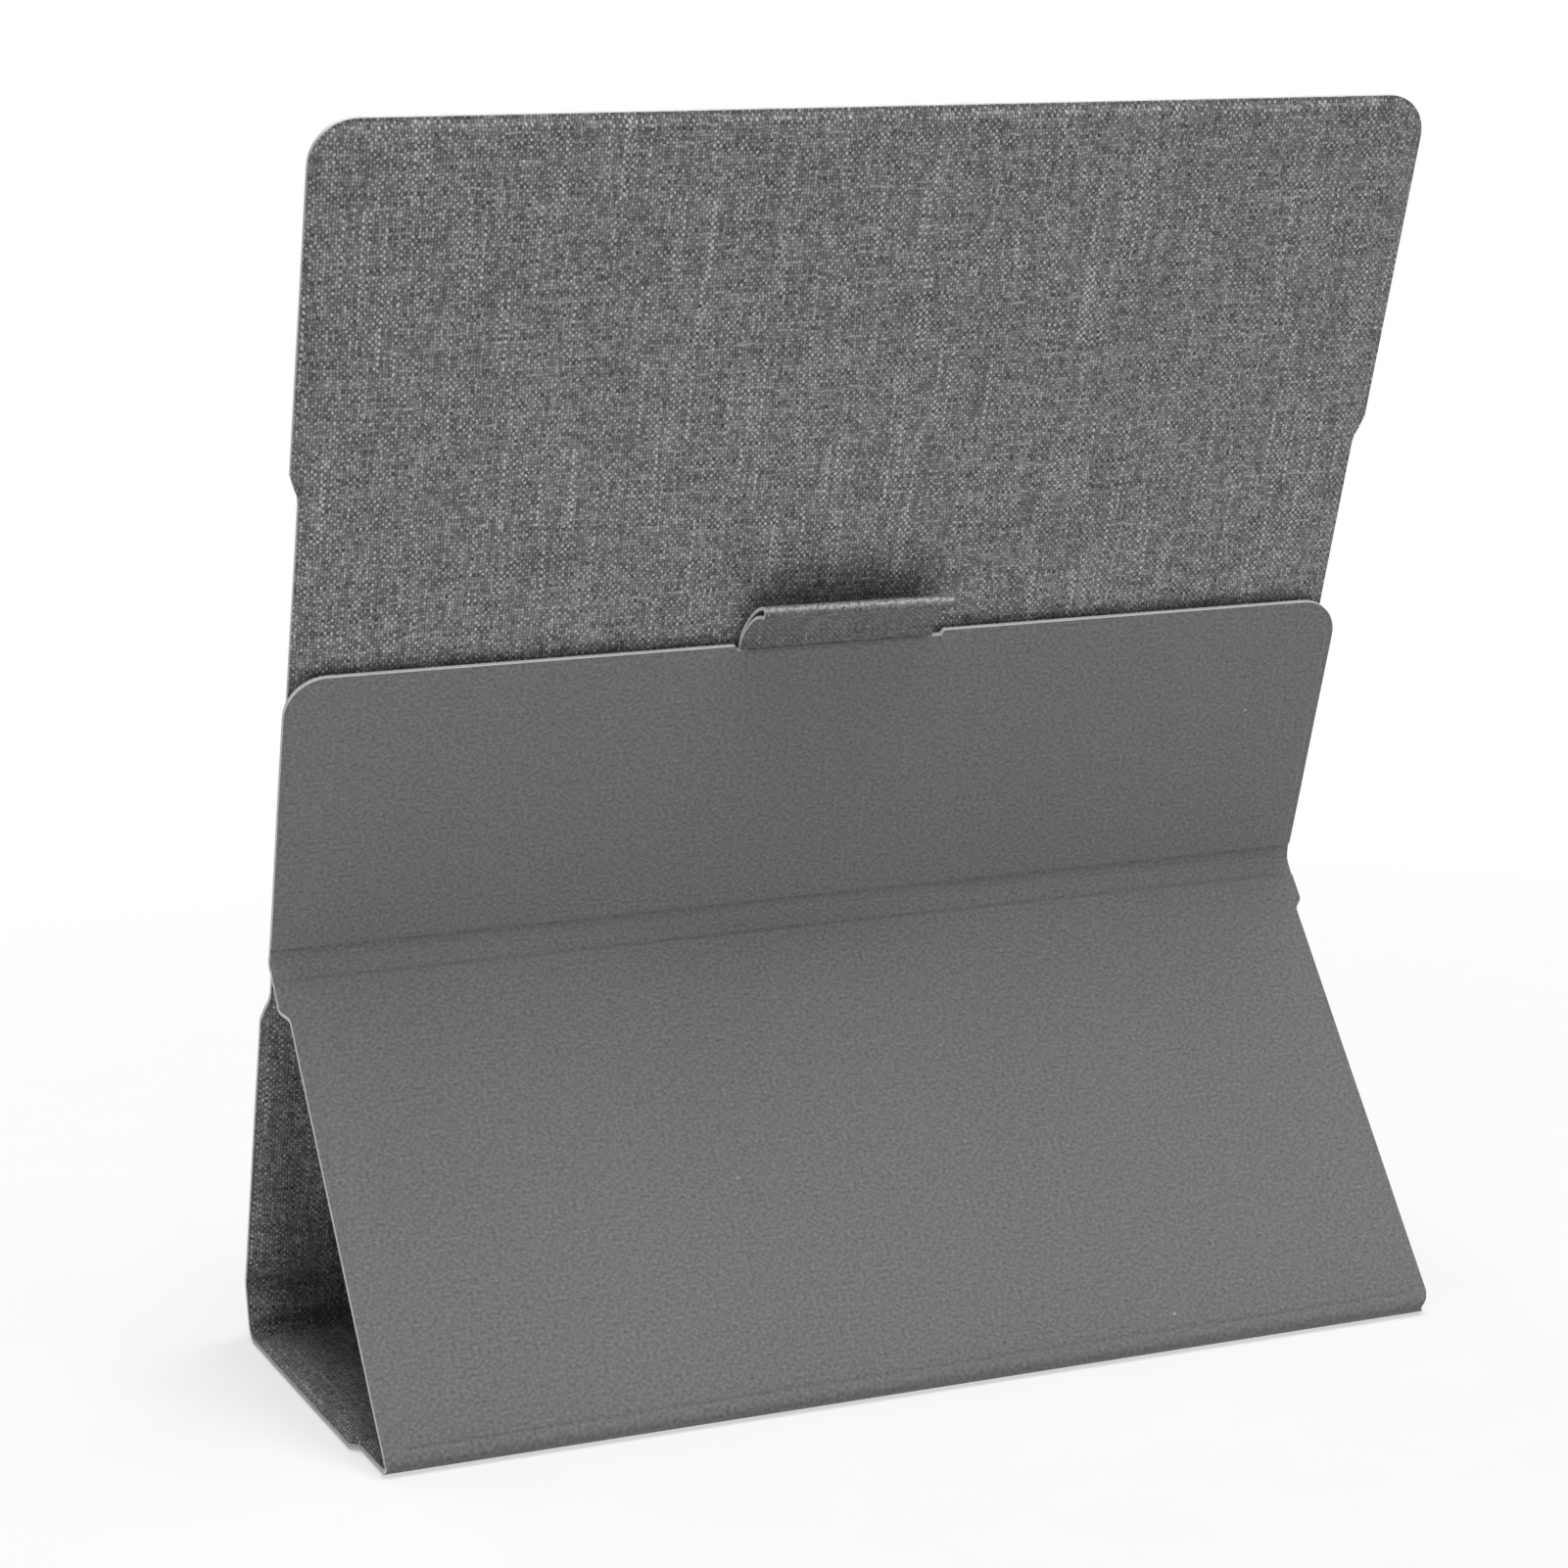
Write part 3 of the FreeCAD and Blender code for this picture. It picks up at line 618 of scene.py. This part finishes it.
def plated(name, level, roughness):
    """Plated metal with faint rolling marks."""
    finish = Finish(name)
    marks = finish.cloud(finish.stretch(finish.solid_map(), ROLLING_RATES), 1.0, 3.0, 0.6)
    colour = finish.ramp(marks, ((0.3, grey(level * 0.85)), (0.7, grey(level * 1.1))))
    finish.bump(marks, 0.12, 0.00005)
    rough = finish.span(marks, 0.3, 0.7, roughness, roughness + ROLLING_SPREAD)
    return finish.surface(colour, rough, Metallic=1.0)


FABRIC = woven("heathered_weave", (0.044, 0.202, 0.55))
FABRIC_EDGE = cut_edge("fabric_cut_edge", 0.42, 0.72)
# A darker, lower-contrast copy of the cover's weave: painted shade for the tab, which also gets a painted
# highlight along its head.
SHADED_TAB_WEAVE = woven("shaded_tab_weave", (0.065, 0.140, 0.28), highlighted=True)
LINING = microfibre("brushed_lining", 0.164)
# The lining's cut edge is pale; its levels are raised further as painted light, standing for light from the
# side on the edges.
LIT_LINING_EDGE = cut_edge("lit_lining_cut_edge", 0.62, 0.88)
BOARD = greyboard("fibre_board")
MAGNET = plated("nickel_magnet", 0.62, 0.22)
STEEL = plated("keeper_steel", 0.50, 0.34)


def cut_lines(length, spacing):
    """Places for cuts over a length: close near its ends, even in between."""
    near = [cut for cut in EDGE_CUTS if cut < length / 2 * EDGE_SHARE]
    first = near[-1]
    count = max(1, round((length - 2 * first) / spacing))
    between = [first + (length - 2 * first) * index / count for index in range(1, count)]
    return near + between + [length - cut for cut in reversed(near)]


def cut_across(bm, places, axis):
    """Cuts the flat sheet straight through at each place along an axis."""
    for place in places:
        geometry = bm.verts[:] + bm.edges[:] + bm.faces[:]
        bmesh.ops.bisect_plane(bm, geom=geometry, dist=SAME_PLACE, plane_co=axis * place, plane_no=axis)


def rectangle(half, low, high):
    """A flat face, x across and y from low to high, in millimetres."""
    bm = bmesh.new()
    bmesh.ops.create_grid(bm, x_segments=1, y_segments=1, size=0.5)
    bmesh.ops.scale(bm, vec=(2 * half, high - low, 1), verts=bm.verts)
    bmesh.ops.translate(bm, vec=(0, (high + low) / 2, 0), verts=bm.verts)
    return bm


def flat_sheet(panel):
    """The panel's cloth before it is shaped, with cuts where its form changes."""
    bm = rectangle(HALF_WIDTH, 0, panel.length)
    across = [place - HALF_WIDTH for place in cut_lines(2 * HALF_WIDTH, CLOTH_SPACING)]
    along = cut_lines(panel.length, CLOTH_SPACING)
    for radius, end in zip(panel.rounds, (0, panel.length)):
        steps = range(1, CORNER_CUTS + 1) if radius else ()
        angles = [math.radians(90 * step / CORNER_CUTS) for step in steps]
        along += [abs(end - radius * (1 - math.cos(angle))) for angle in angles]
    along += panel.cuts
    if panel.notched:
        lip = TAB_HALF + NOTCH_SIDE
        across += [side * (lip + cut) for side in (-1, 1) for cut in LIP_CUTS]
    cut_across(bm, across, ACROSS)
    cut_across(bm, along, ALONG)
    return bm


def waver(panel, x, v, kind):
    """A small handmade unevenness, the same on every run."""
    depth, seed = kind
    return depth * abs(noise.noise(Vector((x * WAVER_RATE, (v + panel.before) * WAVER_RATE, seed))))


def outline_spot(panel, x, v):
    """Where a spot of the flat sheet goes when it is cut to the panel's outline."""
    loss = HALF_WIDTH - panel.edge(x, v)
    loss += waver(panel, math.copysign(WAVER_SIDE, x), v, CUT_WAVER)
    x -= math.copysign(loss * smooth(*OUTLINE_REACH, abs(x)), x)
    if panel.notched:
        lip = TAB_HALF + NOTCH_SIDE
        dip = 1 - smooth(lip - NOTCH_EASE, lip + NOTCH_EASE, abs(x))
        v -= NOTCH_DEPTH * dip * smooth(panel.length - NOTCH_REACH, panel.length, v)
    return x, v


def fabric_heights(panel, x, v):
    """The fabric's outer face and its inner side."""
    depth = panel.depth(x, v)
    face = FABRIC_RIM + (FABRIC_FACE - FABRIC_RIM) * smooth(*FABRIC_SLOPE, depth)
    fall = 1 - smooth(*SIDE_FALL_REACH, panel.side(v) - abs(x))
    face -= SIDE_FALL * fall * smooth(*FACE_START, depth)
    face -= waver(panel, x, v, FABRIC_WAVER) * smooth(*FACE_INSIDE, depth)
    inner = SEAM + (BOARD_TOP - SEAM) * smooth(*BOARD_STEP, depth)
    return face, inner


def crease_press(panel, v):
    """How deep the lining is pressed in where a board ends beside the flap's fold."""
    pressed = 0.0
    for crease, margin, along in zip(panel.creases, panel.margins, (v, panel.length - v)):
        deepest = margin - CREASE_BACK
        slope = min(1.0, along / deepest)
        pressed += crease * slope * (1 - smooth(deepest, margin + CREASE_PAST, along))
    return pressed


def lining_heights(panel, x, v):
    """The lining's outer face and its inner side, with the creases pressed beside the boards."""
    depth = panel.depth(x, v)
    face = LINING_RIM * (1 - smooth(*LINING_SLOPE, depth))
    face += waver(panel, x, v, LINING_WAVER) * smooth(*FACE_INSIDE, depth)
    face += RIM_GROOVE * (1 - smooth(*GROOVE_SIDE, abs(depth)))
    face += crease_press(panel, v)
    inner = SEAM - (SEAM - BOARD_LOW) * smooth(*BOARD_STEP, depth)
    return face, inner


def doubled(bm):
    """Gives a sheet its second side, and returns that side's vertices."""
    copied = bmesh.ops.extrude_face_region(bm, geom=bm.faces[:])["geom"]
    return {item for item in copied if isinstance(item, bmesh.types.BMVert)}


def share_out_finishes(bm, inner, inner_finish, edge_finish):
    """The first finish for the outer side, and others for the inner side and the cut edge."""
    for face in bm.faces:
        sides = {vert in inner for vert in face.verts}
        if len(sides) == 2:
            face.material_index = edge_finish
        else:
            face.material_index = inner_finish if True in sides else 0


def give_cloth_map(bm, spots):
    """A map of the flat cloth, in metres, that the weave and nap follow."""
    layer = bm.loops.layers.uv.new("cloth")
    for face in bm.faces:
        for loop in face.loops:
            loop[layer].uv = spots[loop.vert]


def finished(name, bm, materials):
    """Closes a bmesh into an object with its finishes."""
    bmesh.ops.recalc_face_normals(bm, faces=bm.faces)
    for face in bm.faces:
        face.smooth = True
    for edge in bm.edges:
        if len(edge.link_faces) == 2 and edge.calc_face_angle(0) > SHARP_ANGLE:
            edge.smooth = False
    mesh = bpy.data.meshes.new(name)
    bm.to_mesh(mesh)
    bm.free()
    for material in materials:
        mesh.materials.append(material)
    piece = bpy.data.objects.new(name, mesh)
    bpy.context.scene.collection.objects.link(piece)
    return piece


def panel_cloth(panel, layer, heights, materials):
    """One of the panel's two cloths, shaped over its board."""
    bm = flat_sheet(panel)
    inner_side = doubled(bm)
    spots = {}
    for vert in bm.verts:
        x, v = outline_spot(panel, vert.co.x, vert.co.y)
        face, inner = heights(panel, x, v)
        lift = inner if vert in inner_side else face
        turned_in = lift if vert in inner_side else 0
        spots[vert] = (x * MM, (v + panel.before + turned_in) * MM)
        vert.co = panel.place(x, v, lift)
    share_out_finishes(bm, inner_side, inner_finish=0, edge_finish=1)
    give_cloth_map(bm, spots)
    piece = finished("%s_%s_cloth" % (panel.name, layer), bm, materials)
    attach(piece, panel.name)
    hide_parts("%s_%s" % (panel.name, layer))


def dress_panels():
    for panel in PANELS:
        panel_cloth(panel, "fabric", fabric_heights, (FABRIC, FABRIC_EDGE))
        panel_cloth(panel, "lining", lining_heights, (LINING, LIT_LINING_EDGE))


def spun_strip(before, turn, centre, half, heights):
    """The cut face where the first panel ends, spun round the bend's centre."""
    bm = rectangle(half, *heights)
    cut_across(bm, [place - half for place in cut_lines(2 * half, CLOTH_SPACING)], ACROSS)
    for vert in bm.verts:
        vert.co = before.place(vert.co.x, before.length, vert.co.y)
    geometry = bm.verts[:] + bm.edges[:] + bm.faces[:]
    bmesh.ops.spin(bm, geom=geometry, cent=centre, axis=ACROSS, angle=turn, steps=FOLD_STEPS)
    return bm


def fold_cloth(name, before, after, radius, half, layer, heights, materials):
    """A bent strip of one cloth between two panels, its corners drawn in at the stand fold."""
    turn = after.angle - before.angle
    centre = before.place(0, before.length, CLOTH_MIDDLE + math.copysign(radius, turn))
    bm = spun_strip(before, turn, centre, half, heights)
    first = before.place(0, before.length, CLOTH_MIDDLE) - centre
    spots = {}
    for vert in bm.verts:
        swing = first.angle(Vector((0, vert.co.y - centre.y, vert.co.z - centre.z)))
        if name == "stand_fold":
            drawn = pinch(vert.co.x, abs(swing * radius - STAND_ARC / 2))
            outer = smooth(half - PINCH_REACH, half, abs(vert.co.x) / MM)
            vert.co.x -= math.copysign(drawn * outer * MM, vert.co.x)
        spots[vert] = (vert.co.x, (before.before + before.length) * MM + swing * radius * MM)
    for face in bm.faces:
        face.material_index = 1 if abs(face.normal.x) > 0.7 else 0
    give_cloth_map(bm, spots)
    piece = finished("%s_%s_cloth" % (name, layer), bm, materials)
    order = FOLD_ORDER[name]
    ends = {before.name: before.place(0, before.length, CLOTH_MIDDLE),
            after.name: after.place(0, 0, CLOTH_MIDDLE)}
    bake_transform(piece, *order, start=tuple(ends[order[0]]), end=tuple(ends[order[1]]))
    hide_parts("%s_%s" % (name, layer))


def dress_folds():
    for name, before, after, radius, half in FOLDS:
        fold_cloth(name, before, after, radius, half, "fabric", (SEAM, FABRIC_RIM), (FABRIC, FABRIC_EDGE))
        fold_cloth(name, before, after, radius, half, "lining", (LINING_RIM, SEAM), (LINING, LIT_LINING_EDGE))


def tab_line():
    """The middle of the tab's cloth: up its front, round its head and down its rear."""
    curl = (TAB_HEIGHT ** 2 + TAB_REACH ** 2) / (2 * TAB_REACH)
    turn = math.asin(TAB_HEIGHT / curl)
    front = [(-TAB_TUCK, -TAB_CLOTH / 2)]
    rear = [(-TAB_TUCK, TAB_CLOTH / 2)]
    for index in range(TAB_STEPS):
        share = index / (TAB_STEPS - 1)
        angle = turn * share
        gap = TAB_CLOTH / 2 + (TAB_HEAD / 2 - TAB_CLOTH) * share ** 2
        along = curl * math.sin(angle)
        out = curl * (1 - math.cos(angle))
        front.append((along + math.sin(angle) * gap, out - math.cos(angle) * gap))
        rear.append((along - math.sin(angle) * gap, out + math.cos(angle) * gap))
    head = (TAB_HEAD - TAB_CLOTH) / 2
    middle = (curl * math.sin(turn), curl * (1 - math.cos(turn)))
    round_head = []
    for step in range(1, HEAD_STEPS):
        swing = turn - math.pi / 2 + math.pi * step / HEAD_STEPS
        round_head.append((middle[0] + head * math.cos(swing), middle[1] + head * math.sin(swing)))
    return [Vector(point) for point in front + round_head + rear[::-1]]


def tab_strip(line):
    """The folded strip as a thin sheet, each vertex marked with its place along the line."""
    bm = bmesh.new()
    bm.verts.layers.float.new("head_highlight")
    bm.verts.layers.float.new("place")
    place = bm.verts.layers.float["place"]
    chain = []
    for index, point in enumerate(line):
        vert = bm.verts.new((-TAB_HALF, *point))
        vert[place] = index
        chain.append(vert)
    edges = [bm.edges.new(pair) for pair in zip(chain, chain[1:])]
    swept = bmesh.ops.extrude_edge_only(bm, edges=edges)["geom"]
    moved = [item for item in swept if isinstance(item, bmesh.types.BMVert)]
    bmesh.ops.translate(bm, vec=(2 * TAB_HALF, 0, 0), verts=moved)
    cut_across(bm, [spot - TAB_HALF for spot in cut_lines(2 * TAB_HALF, TAB_SPACING)], ACROSS)
    return bm


def tab_run(line):
    """How far along the cloth each point of the line lies."""
    run = [0.0]
    for first, second in zip(line, line[1:]):
        run.append(run[-1] + (second - first).length)
    return run


def shape_tab(bm, line, inner):
    """Gives the strip its thickness, flare and painted highlight on the flap, and returns its cloth map."""
    place = bm.verts.layers.float["place"]
    head_highlight = bm.verts.layers.float["head_highlight"]
    last = len(line) - 1
    ahead = [(line[min(i + 1, last)] - line[max(i - 1, 0)]).normalized() for i in range(last + 1)]
    run = tab_run(line)
    spots = {}
    for vert in bm.verts:
        index = round(vert[place])
        lift = (-0.5 if vert in inner else 0.5) * TAB_CLOTH * TAB_PRESSED
        along = vert.co.y + ahead[index].y * lift
        out = vert.co.z - ahead[index].x * lift
        x = vert.co.x
        out *= 1 - TAB_LEAN * x / TAB_HALF
        x += TAB_FLARE * max(0.0, x / TAB_HALF) ** 3 * (1 - smooth(0.0, TAB_HEIGHT, along))
        # Painted highlight: a pale band on the outer side of the tab's head.
        from_highlight = (index - last / 2 + HIGHLIGHT_BEFORE) / HIGHLIGHT_WIDTH
        vert[head_highlight] = 0.0 if vert in inner else math.exp(-from_highlight ** 2)
        spots[vert] = (x * MM, (run[index] + TAB_MAP_PLACE) * MM)
        vert.co = FLAP.place(x, FLAP.length - TAB_ROOT + along, TAB_LEVEL - out)
    return spots


def dress_tab():
    """A strip of the weave folded over into a loop, its raw ends showing at the sides."""
    line = tab_line()
    bm = tab_strip(line)
    inner = doubled(bm)
    spots = shape_tab(bm, line, inner)
    share_out_finishes(bm, inner, inner_finish=1, edge_finish=2)
    give_cloth_map(bm, spots)
    piece = finished("tab_loop_cloth", bm, (SHADED_TAB_WEAVE, LINING, LIT_LINING_EDGE))
    piece.data.attributes.remove(piece.data.attributes["place"])
    start, end = (FLAP.place(0, FLAP.length - TAB_ROOT + step, TAB_LEVEL) for step in TAB_BEND)
    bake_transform(piece, "flap", "tab", start=tuple(start), end=tuple(end))
    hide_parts("tab_loop")


def finish_inner_parts():
    """The boards, magnets and plates inside the case keep their CAD shapes."""
    finishes = {panel.name + "_board": BOARD for panel in PANELS}
    finishes.update(back_tablet_magnets=MAGNET, flap_magnets=MAGNET, tab_magnet=MAGNET,
                    back_keeper_plates=STEEL, tab_anchor=SHADED_TAB_WEAVE)
    for name, material in finishes.items():
        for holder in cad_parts[name].material_slots:
            holder.material = material


# Table, in metres: its size, and how far from the case it fades into the background.
TABLE_RADIUS = 3.0
TABLE_SIDES = 96
TABLE_DROP = 0.0002
TABLE_GRAIN = 60.0
FADE_REACH = (0.10, 0.40)
FADE_SHARE = (0.62, 1.0)
WHITE = (1, 1, 1, 1)


def table_finish():
    """White that fades into the background, keeps the soft shadow and is clear from below."""
    finish = Finish("white_table")
    where = finish.solid_map()
    grain = finish.cloud(where, TABLE_GRAIN, 3.0)
    finish.surface(finish.ramp(grain, ((0.3, grey(0.83)), (0.7, grey(0.86)))),
                   finish.span(grain, 0.3, 0.7, 0.8, 0.9), Specular_IOR_Level=0.1)
    reach = finish.node("ShaderNodeVectorMath", {0: where}, operation="LENGTH").outputs["Value"]
    fade = finish.span(reach, *FADE_REACH, *FADE_SHARE)
    rays = finish.node("ShaderNodeLightPath").outputs
    mirrored = finish.math("MAXIMUM", rays["Is Glossy Ray"], rays["Is Transmission Ray"])
    direct = finish.math("MAXIMUM", rays["Is Camera Ray"], mirrored)
    hidden = finish.math("MULTIPLY", fade, direct)
    white = finish.node("ShaderNodeEmission", {"Color": WHITE, "Strength": 1.0}).outputs[0]
    mixed = finish.node("ShaderNodeMixShader", {0: hidden, 1: finish.shader.outputs[0], 2: white})
    below = finish.node("ShaderNodeNewGeometry").outputs["Backfacing"]
    clear = finish.node("ShaderNodeBsdfTransparent").outputs[0]
    shown = finish.node("ShaderNodeMixShader", {0: below, 1: mixed.outputs[0], 2: clear})
    output = next(n for n in finish.tree.nodes if n.type == "OUTPUT_MATERIAL")
    finish.tree.links.new(shown.outputs[0], output.inputs["Surface"])
    return finish.material


def stage_table():
    bm = bmesh.new()
    bmesh.ops.create_circle(bm, cap_ends=True, segments=TABLE_SIDES, radius=TABLE_RADIUS)
    bmesh.ops.translate(bm, vec=(0, 0, -TABLE_DROP), verts=bm.verts)
    finished("white_table", bm, (table_finish(),))


AMBIENT = 0.03
# Soft lights: name, place, what it faces, width, depth and power.
SOFT_LIGHTS = (
    ("overhead_softbox", (-0.10, 0.35, 1.10), (0.0, 0.1, 0.0), 0.8, 0.8, 14.6),
    ("rear_table_glow", (-0.06, 0.11, 0.004), (-0.06, 0.11, 1.0), 0.7, 0.12, 0.15),
    ("rear_strip_light", (0.12, 0.75, 0.16), (0.0, 0.0, 0.06), 0.05, 0.30, 0.30),
    ("side_softbox", (0.90, 0.25, 0.35), (0.0, 0.0, 0.05), 0.6, 0.6, 0.6),
    ("front_softbox", (0.25, -0.90, 0.55), (0.0, 0.0, 0.08), 0.7, 0.6, 4.0),
)


def light_world():
    """White to the eye, a soft plain light on the object."""
    world = bpy.data.worlds.new("soft_studio")
    bpy.context.scene.world = world
    world.use_nodes = True
    tree = world.node_tree
    background = next(n for n in tree.nodes if n.type == "BACKGROUND")
    rays = tree.nodes.new("ShaderNodeLightPath").outputs
    seen = rays["Is Camera Ray"]
    for ray in ("Is Glossy Ray", "Is Transmission Ray"):
        joined = tree.nodes.new("ShaderNodeMath")
        joined.operation = "MAXIMUM"
        tree.links.new(seen, joined.inputs[0])
        tree.links.new(rays[ray], joined.inputs[1])
        seen = joined.outputs[0]
    level = tree.nodes.new("ShaderNodeMapRange")
    tree.links.new(seen, level.inputs["Value"])
    level.inputs["To Min"].default_value = AMBIENT
    level.inputs["To Max"].default_value = 1.0
    background.inputs["Color"].default_value = WHITE
    tree.links.new(level.outputs[0], background.inputs["Strength"])


def hang_lights():
    for name, place, target, width, depth, power in SOFT_LIGHTS:
        lamp = bpy.data.lights.new(name, "AREA")
        lamp.shape = "RECTANGLE"
        lamp.size = width
        lamp.size_y = depth
        lamp.energy = power
        holder = bpy.data.objects.new(name, lamp)
        holder.location = place
        aim = Vector(target) - Vector(place)
        holder.rotation_euler = aim.to_track_quat("-Z", "Y").to_euler()
        holder.visible_camera = False
        bpy.context.scene.collection.objects.link(holder)


# Camera: sensor, lens and place in millimetres, and its own axes in the part's frame.
SENSOR = 36.0
LENS = 87.607
LENS_SHIFT = (0.00474, -0.0098)
CLIP_START = 0.01
CAMERA_PLACE = (213.355, 508.773, 175.358)
CAMERA_RIGHT = (-0.925832, 0.377078, -0.025491)
CAMERA_UP = (-0.084100, -0.139807, 0.986599)
CAMERA_AWAY = (0.368460, 0.915575, 0.161146)


def set_camera():
    """The photograph's viewing angle."""
    camera = bpy.data.cameras.new("camera")
    camera.sensor_width = SENSOR
    camera.lens = LENS
    camera.shift_x, camera.shift_y = LENS_SHIFT
    camera.clip_start = CLIP_START
    holder = bpy.data.objects.new("camera", camera)
    turned = Matrix((CAMERA_RIGHT, CAMERA_UP, CAMERA_AWAY)).transposed().to_4x4()
    holder.matrix_world = Matrix.Translation(Vector(CAMERA_PLACE) * MM) @ turned
    bpy.context.scene.collection.objects.link(holder)
    bpy.context.scene.camera = holder


dress_panels()
dress_folds()
dress_tab()
finish_inner_parts()
stage_table()
light_world()
hang_lights()
set_camera()
bpy.context.scene.view_settings.view_transform = "Standard"
